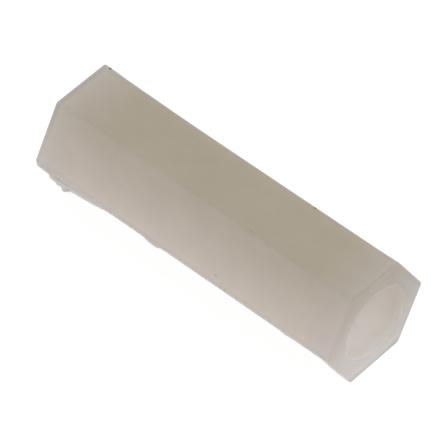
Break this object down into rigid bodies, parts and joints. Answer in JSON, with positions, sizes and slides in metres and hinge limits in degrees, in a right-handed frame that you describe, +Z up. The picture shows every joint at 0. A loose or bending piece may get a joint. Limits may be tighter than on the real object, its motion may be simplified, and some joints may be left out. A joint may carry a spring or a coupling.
{
  "type": "hex standoff",
  "caption": "Female hex standoff in natural nylon with a plain round bore right through, used as a spacer over a clearance screw.",
  "frame": {"origin": "middle of the flat that the standoff lies on", "axes": "+X along the bore, away from the end with the torn mould flash; +Z up, square to the flat that it lies on; the flash stands out towards -Y"},
  "size_m": [0.02, 0.0068, 0.006],
  "materials": {
    "natural_nylon": "satin"
  },
  "bodies": {
    "root": {"standoff": "natural_nylon"}
  },
  "joints": []
}
